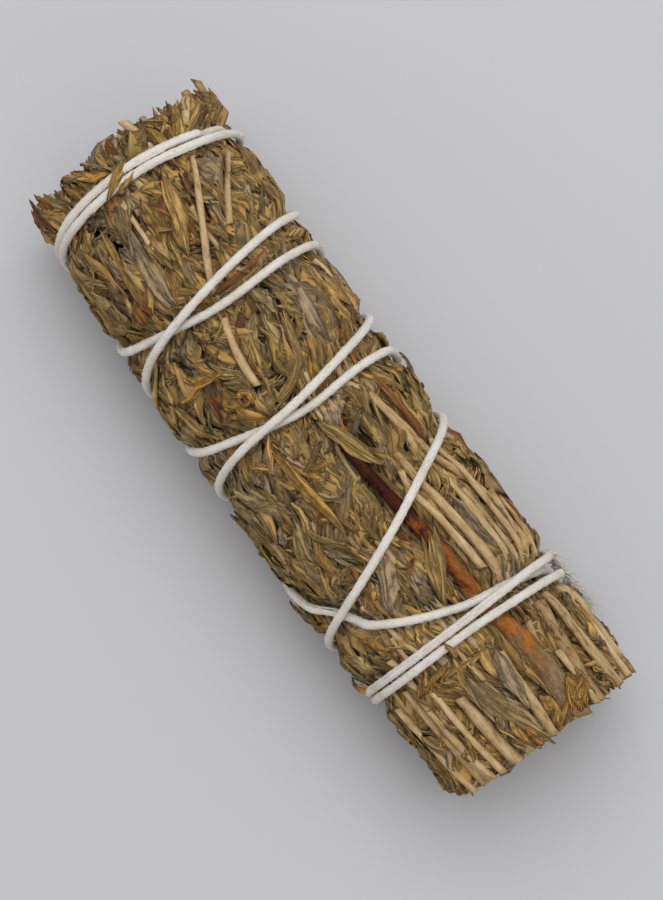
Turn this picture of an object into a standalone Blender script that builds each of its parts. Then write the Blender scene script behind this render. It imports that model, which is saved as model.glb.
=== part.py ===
"""Sage bunch: cut and dried sage sprigs lying side by side, bound with one cotton string.

Lengths below are in millimetres and angles in degrees; the model itself is in metres.
The bunch lies on its side. X runs along it, from the leaf tips (-X) to the cut stems (+X).
An angle round the bunch is 0 at its +Y side, 90 on top, 180 at its -Y side, 270 underneath.
"""

import math

import bmesh
import bpy
import numpy as np
from mathutils import Vector

MM = 0.001
GAP = 0.3  # kept clear between neighbouring pieces

# The bunch as a whole
HALF_LENGTH = 57.2
HALF_WIDTH = 18.0
HEIGHT_ABOVE = 16.2  # from the axis to the top
HEIGHT_BELOW = 17.8  # to where the underside would reach if it weren't pressed flat
AXIS_Z = 15.6  # the flattened underside cuts the section off at z = 0
SECTION_POWER = 2.2  # 2 is an ellipse, more is boxier
BOW = 1.4  # the bunch bends this far sideways
Y_SHIFT = -0.93  # puts the middle of the whole width at y = 0

# Sprigs: rings of leafy stems round one in the middle
CORE_SHARE = 0.22  # of the local radius
RING_SHARE = 0.53
INNER_SPRIGS = 6
OUTER_SPRIGS = 12
STEP = 2.9  # spacing of the cross-sections along an outer sprig

# String
STRING = 1.35  # diameter
GROOVE = 1.8  # depth the string has pressed into the leaves
STRING_LIE = 0.74  # depth of the middle of the string, which leaves a gap under it
GROOVE_FLAT = 2.6  # half-width of the pressed band
GROOVE_EDGE = 5.4  # where the leaves are back to full height
TURN_STEPS = 34  # points in each turn of the string
CROSS_DIP = STRING + 0.3  # an earlier turn lies this much deeper under a later one


def smooth(value):
    value = np.clip(value, 0.0, 1.0)
    return value * value * (3.0 - 2.0 * value)


# ---------------------------------------------------------------- the skin of the bunch
def swell(x):
    taper = 1.0 - 0.05 * (x / HALF_LENGTH) ** 4
    bulge = 0.025 * math.exp(-(((x - 24.0) / 14.0) ** 2))
    return taper + bulge


def axis_y(x):
    return BOW * ((x / HALF_LENGTH) ** 2 - 0.5) + Y_SHIFT


def skin_radius(x, angle):
    """Distance from the axis to the outside of the bunch, before strings press into it."""
    a = math.radians(angle)
    across = abs(math.cos(a)) / HALF_WIDTH
    up = math.sin(a)
    along_z = up / HEIGHT_ABOVE if up > 0 else -up / HEIGHT_BELOW
    radius = (across**SECTION_POWER + along_z**SECTION_POWER) ** (-1.0 / SECTION_POWER)
    radius *= swell(x)
    if up < 0:
        radius = min(radius, AXIS_Z / -up)
    return radius


def place(x, angle, radius):
    """The point at this angle and distance from the axis, in metres."""
    a = math.radians(angle)
    y = axis_y(x) + radius * math.cos(a)
    z = max(AXIS_Z + radius * math.sin(a), 0.0)
    return Vector((x, y, z)) * MM


# ---------------------------------------------------------------- route of the string
# Each trip over the top, in the order it was wound: where it lies along the bunch at the
# angles 0, 45, 90, 135 and 180. It goes back underneath from 180 to 360.
TRIPS = (
    (34.4, 34.0, 31.9, 25.8, 15.0),
    (-5.0, -6.0, -5.4, -8.0, -12.0),
    (-25.5, -26.0, -25.5, -27.5, -31.0),
    (-48.8, -49.5, -50.9, -50.6, -48.8),
    (-47.3, -48.0, -49.4, -49.1, -47.3),
    (-32.5, -31.0, -29.0, -26.5, -23.5),
    (-12.5, -9.5, -7.0, -6.0, -4.0),
    (6.5, 11.0, 17.0, 22.0, 25.0),
    (33.8, 33.9, 34.2, 34.4, 34.6),
    (37.2, 36.5, 35.8, 36.0, 36.2),
)
START_ANGLE = -24.0
START_X = 38.4
END_ANGLE = -34.0
END_X = 38.9  # the last trip comes back up here to be tied to the start
KNOT_X = 40.2
KNOT_ANGLE = -25.0


def route_keys():
    keys = [(START_ANGLE - 30.0, START_X + 9.0), (START_ANGLE, START_X)]
    for trip, places in enumerate(TRIPS):
        for step, x in enumerate(places):
            if trip == 0 and step == 0:
                continue
            keys.append((360.0 * trip + 45.0 * step, x))
    keys.append((360.0 * len(TRIPS) + END_ANGLE, END_X))
    keys.append((360.0 * len(TRIPS) + END_ANGLE + 50.0, END_X + 1.5))
    return keys


def route_x(keys, turn_angle):
    """A smooth curve through the keys (cubic, with the slope at a key from its neighbours)."""
    for i in range(1, len(keys) - 2):
        if turn_angle <= keys[i + 1][0]:
            break
    (a0, x0), (a1, x1), (a2, x2), (a3, x3) = keys[i - 1 : i + 3]
    span = a2 - a1
    slope1 = (x2 - x0) / (a2 - a0) * span
    slope2 = (x3 - x1) / (a3 - a1) * span
    t = (turn_angle - a1) / span
    return (
        x1 * (2 * t**3 - 3 * t**2 + 1)
        + slope1 * (t**3 - 2 * t**2 + t)
        + x2 * (3 * t**2 - 2 * t**3)
        + slope2 * (t**3 - t**2)
    )


def wind_string():
    """(angles, x, dips) of the wound string, one entry for each point of it."""
    keys = route_keys()
    step = 360.0 / TURN_STEPS
    count = int((360.0 * len(TRIPS) + END_ANGLE - START_ANGLE) / step) + 1
    angles = START_ANGLE + step * np.arange(count)
    along = np.array([route_x(keys, angle) for angle in angles])
    dips = np.zeros(count)
    for turns in range(1, len(TRIPS)):
        later = TURN_STEPS * turns
        apart = along[: count - later] - along[later:]
        for i in np.nonzero(apart[1:] * apart[:-1] <= 0)[0]:
            reach = range(max(i - 6, 0), min(i + 8, len(apart)))
            for k in reach:
                closeness = smooth((4.4 - abs(apart[k])) / 2.4)
                dips[k] = max(dips[k], CROSS_DIP * closeness)
    return angles, along, dips


ANGLES, ALONG, DIPS = wind_string()
FOLDED = np.radians(ANGLES % 360.0)


def pressed(x, angle):
    """How far the string has pressed the leaves in at this place."""
    around = np.abs(FOLDED - math.radians(angle % 360.0))
    around = np.minimum(around, 2 * math.pi - around) * 17.0
    near = np.hypot(ALONG - x, around)
    weight = smooth((GROOVE_EDGE - near) / (GROOVE_EDGE - GROOVE_FLAT))
    depth = float(np.max(weight * (GROOVE + DIPS)))
    knot_turn = math.radians(angle - KNOT_ANGLE + 180.0) % (2 * math.pi) - math.pi
    from_knot = math.hypot(x - KNOT_X, 17.0 * knot_turn)
    return max(depth, 2.4 * float(smooth((6.0 - from_knot) / 2.5)))


# ---------------------------------------------------------------- pieces lying in the surface
# Bare stems: name, diameter, how deep the top of it lies, then its places (x, angle).
STEMS = (
    ("straight_stem", 1.3, 2.0, (-46.5, 57), (-38, 75), (-30, 91), (-22, 100), (-15, 104)),
    ("short_tip_stem", 1.3, 2.0, (-45.5, 33), (-40.5, 48), (-36, 61)),
    ("forked_stem", 1.4, 1.9, (0.5, 51), (8, 45), (13, 42), (18.5, 30), (26.5, 23), (31, 20)),
    ("tan_stem", 1.5, 2.0, (8, 61), (15, 58), (23, 54), (31, 52)),
    ("slim_stem", 1.3, 1.8, (18, 41), (22.5, 40), (27, 40)),
    ("knobbly_stem", 2.2, 1.8, (39, 45), (45, 47), (51, 49), (56, 50)),
    ("pale_stem_a", 1.6, 1.8, (38.5, 33), (47, 31), (56.8, 27)),
    ("pale_stem_b", 1.4, 2.0, (44.5, 17), (50, 17), (56.6, 16)),
    ("pale_stem_c", 1.7, 2.0, (41.5, 82), (49, 84), (57, 84)),
    ("pale_stem_d", 2.1, 1.9, (43.5, 117), (50, 115), (57, 113)),
    ("pale_stem_e", 1.4, 2.0, (38, 146), (47, 143), (56.5, 139)),
)
BARK_STEM = ("bark_covered_stem", 3.9, 1.9)
BARK_PLACES = ((3, 82), (10, 79), (19, 76), (26, 72), (34, 69), (45, 64), (56.6, 65))
BARK_WIDTHS = (0.45, 0.55, 0.6, 0.75, 0.9, 1.0, 1.05)  # of its full diameter, at each place

# Loose leaves and bark: name, width, thickness, then the places of its middle line.
LEAVES = (
    ("bark_strip", 2.5, 0.8, (-4.5, 43), (0, 43), (4.5, 41), (8.5, 38)),
    ("purple_leaf", 2.8, 0.9, (-22.5, 55), (-19, 54), (-15, 53)),
    ("grey_leaf", 3.2, 0.9, (-42.5, 112), (-38, 114), (-34.5, 114)),
    ("ochre_leaf", 2.6, 0.9, (-45, 126), (-40, 128), (-35, 129)),
    ("hooked_leaf", 2.0, 0.8, (-19.5, 76), (-16, 79), (-13.5, 84)),
    ("golden_leaf", 2.4, 0.9, (-0.5, 118), (4.5, 116), (9.5, 114)),
    ("olive_leaf", 2.6, 0.9, (-0.5, 91), (3.5, 88), (7.5, 87)),
    ("crumpled_leaf", 3.2, 0.9, (22.6, 102), (24, 107), (25, 112)),
    ("spatulate_leaf", 3.6, 0.9, (42, 102), (48, 98), (54.5, 92)),
    ("lobed_leaf", 3.0, 0.9, (22, 86), (25, 90), (27, 93)),
    ("tip_leaf", 2.6, 0.9, (-41.5, 90), (-39, 94), (-36, 97)),
)
LEAF_SINK = 1.0  # the leaves lie this far below the skin


def nearest(places, x, angle):
    """(distance, fraction) to a line through places, measured on the skin."""
    best = (1e9, 0.0)
    for k in range(len(places) - 1):
        (xa, aa), (xb, ab) = places[k], places[k + 1]
        ya, yb = math.radians(aa) * 17.0, math.radians(ab) * 17.0
        dx, dy = xb - xa, yb - ya
        px, py = x - xa, math.radians(angle) * 17.0 - ya
        t = min(max((px * dx + py * dy) / (dx * dx + dy * dy), 0.0), 1.0)
        away = math.hypot(px - t * dx, py - t * dy)
        if away < best[0]:
            best = (away, (k + t) / (len(places) - 1))
    return best


def stem_top(x, angle, sink):
    """Depth of the top of a stem: its own, or deeper where a string passes over it."""
    return max(sink, pressed(x, angle) + 0.1)


def hollow(x, angle):
    """How deep the sprigs lie below the skin, to make room for what lies on them."""
    depth = pressed(x, angle)
    for _, width, sink, *places in STEMS:
        away, _ = nearest(places, x, angle)
        room = smooth((width / 2 + 3.9 - away) / 1.8)
        depth = max(depth, room * (stem_top(x, angle, sink) + width + GAP + 0.15))
    away, along = nearest(BARK_PLACES, x, angle)
    width = BARK_STEM[1] * float(np.interp(along, np.linspace(0, 1, 7), BARK_WIDTHS))
    room = smooth((width / 2 + 4.4 - away) / 1.8)
    depth = max(depth, room * (stem_top(x, angle, BARK_STEM[2]) + width + GAP + 0.5))
    for _, width, thickness, *places in LEAVES:
        away, _ = nearest(places, x, angle)
        room = smooth((width / 2 + 3.9 - away) / 1.8)
        depth = max(depth, room * (LEAF_SINK + thickness + GAP + 0.15))
    return depth


# ---------------------------------------------------------------- materials
def linear(channel):
    return channel / 12.92 if channel <= 0.04045 else ((channel + 0.055) / 1.055) ** 2.4


def material(name, hex_colour, roughness):
    found = bpy.data.materials.new(name)
    found.use_nodes = True
    shader = found.node_tree.nodes["Principled BSDF"]
    channels = [linear(int(hex_colour[i : i + 2], 16) / 255) for i in (0, 2, 4)]
    shader.inputs["Base Color"].default_value = (*channels, 1.0)
    shader.inputs["Roughness"].default_value = roughness
    return found


def add_object(name, data, hex_colour, roughness=0.85):
    obj = bpy.data.objects.new(name, data)
    data.materials.append(material(name, hex_colour, roughness))
    bunch.objects.link(obj)
    return obj


# ---------------------------------------------------------------- makers
def mapped_block(cuts, mapping):
    """A cube cut into a grid along each axis, with every corner moved by the mapping."""
    mesh = bmesh.new()
    bmesh.ops.create_cube(mesh, size=1.0)
    for axis, number in enumerate(cuts):
        if not number:
            continue
        edges = []
        for edge in mesh.edges:
            run = edge.verts[1].co - edge.verts[0].co
            if abs(run[axis]) > 0.99 * run.length:
                edges.append(edge)
        bmesh.ops.subdivide_edges(mesh, edges=edges, cuts=number, use_grid_fill=True)
    for vertex in mesh.verts:
        u, v, w = (value + 0.5 for value in vertex.co)
        vertex.co = mapping(u, v, w)
    if mesh.calc_volume(signed=True) < 0:
        bmesh.ops.reverse_faces(mesh, faces=mesh.faces)
    return mesh


def finish_mesh(mesh, name, hex_colour):
    data = bpy.data.meshes.new(name)
    mesh.to_mesh(data)
    mesh.free()
    return add_object(name, data, hex_colour)


def tube(name, points, diameter, hex_colour, widths=None, sides=4):
    """A round rod through the points, its ends closed."""
    curve = bpy.data.curves.new(name, "CURVE")
    curve.dimensions = "3D"
    curve.bevel_depth = diameter / 2 * MM
    curve.bevel_resolution = sides // 2
    curve.use_fill_caps = True
    spline = curve.splines.new("POLY")
    spline.points.add(len(points) - 1)
    for i, point in enumerate(points):
        spline.points[i].co = (*point, 1.0)
        spline.points[i].radius = widths[i] if widths else 1.0
    return add_object(name, curve, hex_colour)


def seam(ring, index, count, x):
    """Angle of the seam before sprig `index` of a ring; it wanders a little along the bunch."""
    index %= count
    width = 360.0 / count
    base = width * index + width * 0.16 * math.sin(2.4 * index + ring)
    return base + width * 0.13 * math.sin(x / 13.0 + 1.9 * index + 2.0 * ring)


def sprig(name, ring, index, count, shares, ends, colour):
    """One leafy sprig: a full-length solid filling its cell between two seams and two radii."""
    inner_share, outer_share = shares
    outermost = outer_share >= 1.0
    steps = int((ends[1] - ends[0]) / (STEP if outermost else 2 * STEP))
    across = 4 if outermost else 5

    def mapping(u, v, w):
        x = ends[0] + (ends[1] - ends[0]) * u
        start = seam(ring, index, count, x)
        stop = seam(ring, index + 1, count, x)
        if stop < start:
            stop += 360.0
        angle = start + (stop - start) * v
        radius = skin_radius(x, angle)
        low = radius * inner_share + GAP / 2
        if outermost:
            dome = 0.5 * (1.0 - (2 * v - 1) ** 2) + 0.3 * math.sin(x / 3.1 + 2.2 * index)
            rounded = 1.0 - float(smooth((-math.sin(math.radians(angle)) - 0.7) / 0.2))
            high = radius - max(hollow(x, angle), (0.55 - dome) * rounded)
        else:
            high = radius * outer_share - GAP / 2
        # Each end narrows to a bare cut stem, or to the leaf tips
        from_stem = ends[1] - x
        from_tip = x - ends[0]
        keep = 0.55 + 0.45 * smooth((from_stem - 0.5) / 3.5)
        keep *= 0.70 + 0.30 * smooth((from_tip - 0.3) / 4.0)
        middle = (low + high) / 2
        span = (high - low) * keep
        reach = middle + span * (w - 0.5)
        narrow = GAP / 2 / max(reach, 1.0)
        angle = (start + stop) / 2 + (angle - (start + stop) / 2) * keep
        angle += math.degrees(narrow) * (1 - 2 * v)
        return place(x, angle, reach)

    mesh = mapped_block((steps, across - 1, 0), mapping)
    return finish_mesh(mesh, name, colour)


def spread(places, spacing=2.8):
    """(x, angle) of evenly spread points along a line on the skin."""
    found = []
    for k in range(len(places) - 1):
        (xa, aa), (xb, ab) = places[k], places[k + 1]
        pieces = max(int(math.hypot(xb - xa, math.radians(ab - aa) * 17.0) / spacing), 1)
        for j in range(pieces + (k == len(places) - 2)):
            t = j / pieces
            found.append((xa + (xb - xa) * t, aa + (ab - aa) * t))
    return found


def lay_stem(name, diameter, sink, places, colour, shares=(1.0, 1.0)):
    """A stem lying in the surface; shares are its width at each place, of its diameter."""
    points = []
    widths = []
    for x, angle in spread(places):
        _, along = nearest(places, x, angle)
        share = float(np.interp(along, np.linspace(0, 1, len(shares)), shares))
        depth = stem_top(x, angle, sink) + diameter * share / 2
        points.append(place(x, angle, skin_radius(x, angle) - depth))
        widths.append(share)
    sides = 8 if diameter > 3 else 4
    tube(name, points, diameter, colour, widths, sides)


def surface_leaf(name, width, thickness, places, colour):
    """A thin leaf bent over the skin, pointed at both ends and a little cupped."""
    count = len(places) - 1

    def mapping(u, v, w):
        k = min(int(u * count), count - 1)
        t = u * count - k
        x = places[k][0] + (places[k + 1][0] - places[k][0]) * t
        angle = places[k][1] + (places[k + 1][1] - places[k][1]) * t
        run = places[k + 1][0] - places[k][0]
        rise = math.radians(places[k + 1][1] - places[k][1]) * 17.0
        length = math.hypot(run, rise)
        half = width * (0.22 + 0.78 * math.sin(math.pi * min(max(u, 0.0), 1.0)) ** 0.7)
        side = (v - 0.5) * half
        x -= side * rise / length
        angle += math.degrees(side * run / length / 17.0)
        depth = LEAF_SINK + thickness * (1 - w) + 0.12 * (2 * v - 1) ** 2
        return place(x, angle, skin_radius(x, angle) - depth)

    return finish_mesh(mapped_block((7, 3, 0), mapping), name, colour)


# ---------------------------------------------------------------- build
for old in list(bpy.data.objects):
    bpy.data.objects.remove(old)
bunch = bpy.data.collections.new("sage_bunch")
bpy.context.scene.collection.children.link(bunch)

# The middle sprig is a plain round one
core_points = []
core_widths = []
for k in range(15):
    x = -55.5 + 111.0 * k / 14
    core_points.append(place(x, 90.0, 0.0))
    core_widths.append(1.0 - 0.35 * max(0.0, abs(x) / 55.5 - 0.9) * 10 + 0.05 * math.sin(x / 4))
core_diameter = 2 * (CORE_SHARE * HEIGHT_ABOVE * 0.94 - GAP)
tube("leafy_sprig_01", core_points, core_diameter, "6f6a4a", core_widths, sides=8)

SPRIG_COLOURS = ("7a7350", "857a52", "6b6a4c", "8a7c4e", "77745a", "806f47")
number = 2
for index in range(INNER_SPRIGS):
    ends = (-56.0 + 1.3 * math.sin(2.1 * index), 56.2 + 0.9 * math.sin(1.3 * index + 1))
    colour = SPRIG_COLOURS[index % 6]
    shares = (CORE_SHARE, RING_SHARE)
    sprig(f"leafy_sprig_{number:02d}", 0, index, INNER_SPRIGS, shares, ends, colour)
    number += 1
for index in range(OUTER_SPRIGS):
    ends = (-55.9 + 1.3 * math.sin(1.7 * index + 2), 56.3 + 0.9 * math.sin(2.9 * index))
    colour = SPRIG_COLOURS[(index * 5 + 2) % 6]
    shares = (RING_SHARE, 1.0)
    sprig(f"leafy_sprig_{number:02d}", 1, index, OUTER_SPRIGS, shares, ends, colour)
    number += 1

for name, diameter, sink, *places in STEMS:
    lay_stem(name, diameter, sink, places, "a5946b")
lay_stem(*BARK_STEM, BARK_PLACES, "8a5a33", BARK_WIDTHS)

LEAF_COLOURS = ("9a5a2c", "7d7468", "77765c", "a88a44", "77703f", "a98b3f")
for k, (name, width, thickness, *places) in enumerate(LEAVES):
    surface_leaf(name, width, thickness, places, LEAF_COLOURS[k % 6])

# The string: tail, every turn, and the loop that ties its end round its start
string_points = []
out_angle = math.radians(KNOT_ANGLE)
outward = Vector((0.0, math.cos(out_angle), math.sin(out_angle)))
upward = Vector((0.0, -math.sin(out_angle), math.cos(out_angle)))
tie = place(KNOT_X, KNOT_ANGLE, skin_radius(KNOT_X, KNOT_ANGLE) + 0.4)
for k in range(4):
    spread_out = ((3 - k) / 3) ** 2
    tail = Vector((4.4 - 1.6 * k, 0.0, 0.0)) + outward * (0.1 + 1.5 * spread_out)
    string_points.append(tie + (tail + upward * (0.2 + 2.2 * spread_out)) * MM)
for k in range(2, len(ANGLES)):
    angle = ANGLES[k]
    x = ALONG[k]
    string_points.append(place(x, angle, skin_radius(x, angle) - STRING_LIE - DIPS[k]))
loop_radius = STRING + GAP
for k in range(12):
    turn = math.radians(-75.0 + 36.0 * k)
    offset = outward * math.cos(turn) + upward * math.sin(turn)
    step = Vector((-0.9 + 0.21 * k, 0.0, 0.0))
    string_points.append(tie + (step + offset * loop_radius) * MM)
for k in range(1, 4):
    string_points.append(string_points[-1] + (Vector((1.3, 0, 0)) + outward * 0.9) * MM)
tube("cotton_string", string_points, STRING, "e6e2d8", sides=4)
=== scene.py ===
"""Looks of the sage bunch: cut, dried sage sprigs bound with one cotton string.

Lengths are in millimetres and angles in degrees until a point is placed, and metres from there.
X runs along the bunch, from the leaf tips (-X) to the cut stems (+X). An angle round the bunch
is 0 at its +Y side, 90 on top, 180 at its -Y side and 270 underneath.
"""

import math
import random

import bmesh
import bpy
import numpy as np
from mathutils import Matrix, Vector


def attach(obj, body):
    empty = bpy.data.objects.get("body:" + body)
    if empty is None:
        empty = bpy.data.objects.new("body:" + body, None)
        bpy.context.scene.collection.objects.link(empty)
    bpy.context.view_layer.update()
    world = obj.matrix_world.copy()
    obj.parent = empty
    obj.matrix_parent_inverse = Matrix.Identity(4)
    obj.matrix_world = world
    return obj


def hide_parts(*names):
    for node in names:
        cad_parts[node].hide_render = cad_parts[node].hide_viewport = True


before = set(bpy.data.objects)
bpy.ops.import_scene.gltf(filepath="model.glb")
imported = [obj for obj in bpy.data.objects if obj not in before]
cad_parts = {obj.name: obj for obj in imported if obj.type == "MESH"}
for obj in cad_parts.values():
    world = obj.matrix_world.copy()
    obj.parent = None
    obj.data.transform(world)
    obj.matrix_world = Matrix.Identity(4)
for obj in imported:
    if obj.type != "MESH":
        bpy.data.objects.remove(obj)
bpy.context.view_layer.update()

MM = 0.001

# ---- shape of the whole bunch
HALF_LENGTH = 57.2
HALF_WIDTH = 18.0
HEIGHT_ABOVE = 16.2
HEIGHT_BELOW = 17.8
AXIS_Z = 15.6
SECTION_POWER = 2.2
BOW = 1.4
Y_SHIFT = -0.93
MEAN_RADIUS = 17.0
BARK_END = 57.0  # where the sawn end of the bark-covered stem lies
ENDS = (-57.2, 55.8)  # nothing but torn leaf edges reaches past these

STRING = 1.35  # diameter
STRING_DEPTH = 0.76  # the middle of the string lies this far below the skin
CROSS_DIP = STRING + 0.3  # an earlier turn lies this much deeper under a later one
TURN_STEPS = 180
TRIPS = (
    (34.4, 34.0, 31.9, 25.8, 15.0),
    (-5.0, -6.0, -5.4, -8.0, -12.0),
    (-25.5, -26.0, -25.5, -27.5, -31.0),
    (-48.8, -49.5, -50.9, -50.6, -48.8),
    (-47.3, -48.0, -49.4, -49.1, -47.3),
    (-32.5, -31.0, -29.0, -26.5, -23.5),
    (-12.5, -9.5, -7.0, -6.0, -4.0),
    (6.5, 11.0, 17.0, 22.0, 25.0),
    (33.8, 33.9, 34.2, 34.4, 34.6),
    (37.2, 36.5, 35.8, 36.0, 36.2),
)
START_ANGLE = -24.0
START_X = 38.4
END_ANGLE = -34.0
END_X = 38.9
KNOT_X = 40.2
KNOT_ANGLE = -25.0


def smooth(value):
    value = np.clip(value, 0.0, 1.0)
    return value * value * (3.0 - 2.0 * value)


def axis_y(x):
    return BOW * ((x / HALF_LENGTH) ** 2 - 0.5) + Y_SHIFT


def skin_radius(x, angle):
    """Distance from the axis to the outside of the bunch."""
    a = np.radians(angle)
    across = np.abs(np.cos(a)) / HALF_WIDTH
    up = np.sin(a)
    along_z = np.where(up > 0, up / HEIGHT_ABOVE, -up / HEIGHT_BELOW)
    radius = (across**SECTION_POWER + along_z**SECTION_POWER) ** (-1.0 / SECTION_POWER)
    radius *= 1.0 - 0.05 * (x / HALF_LENGTH) ** 4 + 0.025 * np.exp(-(((x - 24.0) / 14.0) ** 2))
    flat = AXIS_Z / np.maximum(-up, 1e-6)
    return np.where(up < 0, np.minimum(radius, flat), radius)


def place(x, angle, radius):
    """Points at this angle and distance from the axis, in metres, one row each."""
    a = np.radians(angle)
    y = axis_y(x) + radius * np.cos(a)
    z = np.maximum(AXIS_Z + radius * np.sin(a), 0.14)
    return np.stack([x + 0.0 * y, y, z], axis=-1) * MM


# ---- route of the string
def route_keys():
    keys = [(START_ANGLE - 30.0, START_X + 9.0), (START_ANGLE, START_X)]
    for trip, places in enumerate(TRIPS):
        for step, x in enumerate(places):
            if trip or step:
                keys.append((360.0 * trip + 45.0 * step, x))
    keys.append((360.0 * len(TRIPS) + END_ANGLE, END_X))
    keys.append((360.0 * len(TRIPS) + END_ANGLE + 50.0, END_X + 1.5))
    return keys


def route_x(keys, turn_angle):
    """A smooth curve through the keys."""
    for i in range(1, len(keys) - 2):
        if turn_angle <= keys[i + 1][0]:
            break
    (a0, x0), (a1, x1), (a2, x2), (a3, x3) = keys[i - 1 : i + 3]
    span = a2 - a1
    slope1 = (x2 - x0) / (a2 - a0) * span
    slope2 = (x3 - x1) / (a3 - a1) * span
    t = (turn_angle - a1) / span
    return (
        x1 * (2 * t**3 - 3 * t**2 + 1)
        + slope1 * (t**3 - 2 * t**2 + t)
        + x2 * (3 * t**2 - 2 * t**3)
        + slope2 * (t**3 - t**2)
    )


def wind_string():
    keys = route_keys()
    step = 360.0 / TURN_STEPS
    count = int((360.0 * len(TRIPS) + END_ANGLE - START_ANGLE) / step) + 1
    angles = START_ANGLE + step * np.arange(count)
    along = np.array([route_x(keys, angle) for angle in angles])
    dips = np.zeros(count)
    for turns in range(1, len(TRIPS)):
        later = TURN_STEPS * turns
        apart = along[: count - later] - along[later:]
        for i in np.nonzero(apart[1:] * apart[:-1] <= 0)[0]:
            reach = slice(max(i - 30, 0), i + 32)
            closeness = smooth((4.4 - np.abs(apart[reach])) / 2.4) * CROSS_DIP
            dips[: count - later][reach] = np.maximum(dips[: count - later][reach], closeness)
    return angles, along, dips


ANGLES, ALONG, DIPS = wind_string()


# ---- how deep things are pressed
STEP_X, STEP_A = 0.5, 2.0
TABLE_X = np.arange(-66.0, 66.1, STEP_X)
TABLE_A = np.arange(0.0, 360.0, STEP_A)

GROOVE = 1.55  # depth that the string has pressed into the leaves
GROOVE_REACH = 3.6  # from the middle of the string to where the leaves are back to full height
GROOVE_SLOPE = 2.7  # width of the groove's slope
KNOT_HOLLOW, KNOT_REACH, KNOT_SLOPE = 2.6, 5.0, 2.5


def lookup(table, x, angle):
    """Value of a table over the skin, between its entries."""
    fx = np.clip((x - TABLE_X[0]) / STEP_X, 0, len(TABLE_X) - 1.001)
    fa = (np.asarray(angle) % 360.0) / STEP_A
    ix, ia = fx.astype(int), np.floor(fa).astype(int) % len(TABLE_A)
    tx, ta = fx - ix, fa - np.floor(fa)
    ja = (ia + 1) % len(TABLE_A)
    low = table[ix, ia] * (1 - ta) + table[ix, ja] * ta
    high = table[ix + 1, ia] * (1 - ta) + table[ix + 1, ja] * ta
    return low * (1 - tx) + high * tx


def string_table():
    """Depth of the groove that the string has pressed, everywhere on the skin."""
    folded = np.radians(ANGLES[::3] % 360.0)
    around = np.abs(folded[None, :] - np.radians(TABLE_A)[:, None])
    around = np.minimum(around, 2 * math.pi - around) * MEAN_RADIUS
    table = np.zeros((len(TABLE_X), len(TABLE_A)))
    depth = (GROOVE + DIPS[::3])[None, :]
    for i, x in enumerate(TABLE_X):
        near = np.hypot(ALONG[None, ::3] - x, around)
        table[i] = np.max(smooth((GROOVE_REACH - near) / GROOVE_SLOPE) * depth, axis=1)
    knot_turn = (np.radians(TABLE_A - KNOT_ANGLE) + math.pi) % (2 * math.pi) - math.pi
    from_knot = np.hypot(TABLE_X[:, None] - KNOT_X, MEAN_RADIUS * knot_turn[None, :])
    knot = KNOT_HOLLOW * smooth((KNOT_REACH - from_knot) / KNOT_SLOPE)
    return np.maximum(table, knot)


def distance_table(places):
    """Distance on the skin from every entry to a line through places."""
    x, a = np.meshgrid(TABLE_X, TABLE_A, indexing="ij")
    best = np.full(x.shape, 1e9)
    for (xa, aa), (xb, ab) in zip(places, places[1:]):
        dx, dy = xb - xa, math.radians(ab - aa) * MEAN_RADIUS
        turn = (a - aa + 180.0) % 360.0 - 180.0
        px, py = x - xa, np.radians(turn) * MEAN_RADIUS
        t = np.clip((px * dx + py * dy) / (dx * dx + dy * dy), 0, 1)
        best = np.minimum(best, np.hypot(px - t * dx, py - t * dy))
    return best


UNDER_STRING = string_table()

# ---- materials


def colour(hex_value):
    """An sRGB hex colour as linear RGBA."""
    found = []
    for i in (0, 2, 4):
        channel = int(hex_value[i : i + 2], 16) / 255
        found.append(channel / 12.92 if channel <= 0.04045 else ((channel + 0.055) / 1.055) ** 2.4)
    return (*found, 1.0)


def add(tree, kind, links=None, output=0, stops=(), **settings):
    """Adds a shader node and returns one of its outputs.

    links maps an input to a value or to another node's output. stops are the (position, hex
    colour) pairs of a colour ramp, and the settings are the node's own.
    """
    made = tree.nodes.new("ShaderNode" + kind)
    for key, value in settings.items():
        setattr(made, key, value)
    if stops:
        made.color_ramp.elements.remove(made.color_ramp.elements[1])
    for k, (position, value) in enumerate(stops):
        stop = made.color_ramp.elements.new(position) if k else made.color_ramp.elements[0]
        stop.position = position
        stop.color = colour(value)
    for key, value in (links or {}).items():
        if isinstance(value, bpy.types.NodeSocket):
            tree.links.new(value, made.inputs[key])
        else:
            made.inputs[key].default_value = value
    return made.outputs[output]


def start(name, roughness, specular=0.3, sheen=0.0):
    made = bpy.data.materials.new(name)
    made.use_nodes = True
    shader = made.node_tree.nodes["Principled BSDF"]
    shader.inputs["Roughness"].default_value = roughness
    shader.inputs["Specular IOR Level"].default_value = specular
    shader.inputs["Sheen Weight"].default_value = sheen
    return made, made.node_tree, shader


def object_noise(tree, scale, stretch=(1, 1, 1), detail=3.0, roughness=0.5):
    """Noise on Object coordinates; scale is in cells per millimetre."""
    coords = add(tree, "TexCoord", None, "Object")
    links = {"Vector": coords, "Scale": tuple(1000 * scale * s for s in stretch)}
    mapped = add(tree, "Mapping", links, "Vector")
    links = {"Vector": mapped, "Scale": 1.0, "Detail": detail, "Roughness": roughness}
    return add(tree, "TexNoise", links, "Fac")


def darkened(tree, body, level):
    """The colour times a level, where 1 leaves it as it is."""
    grey = add(tree, "CombineColor", {0: level, 1: level, 2: level})
    links = {"Factor": 1.0, 6: body, 7: grey}
    return add(tree, "Mix", links, 2, data_type="RGBA", blend_type="MULTIPLY")


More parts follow.
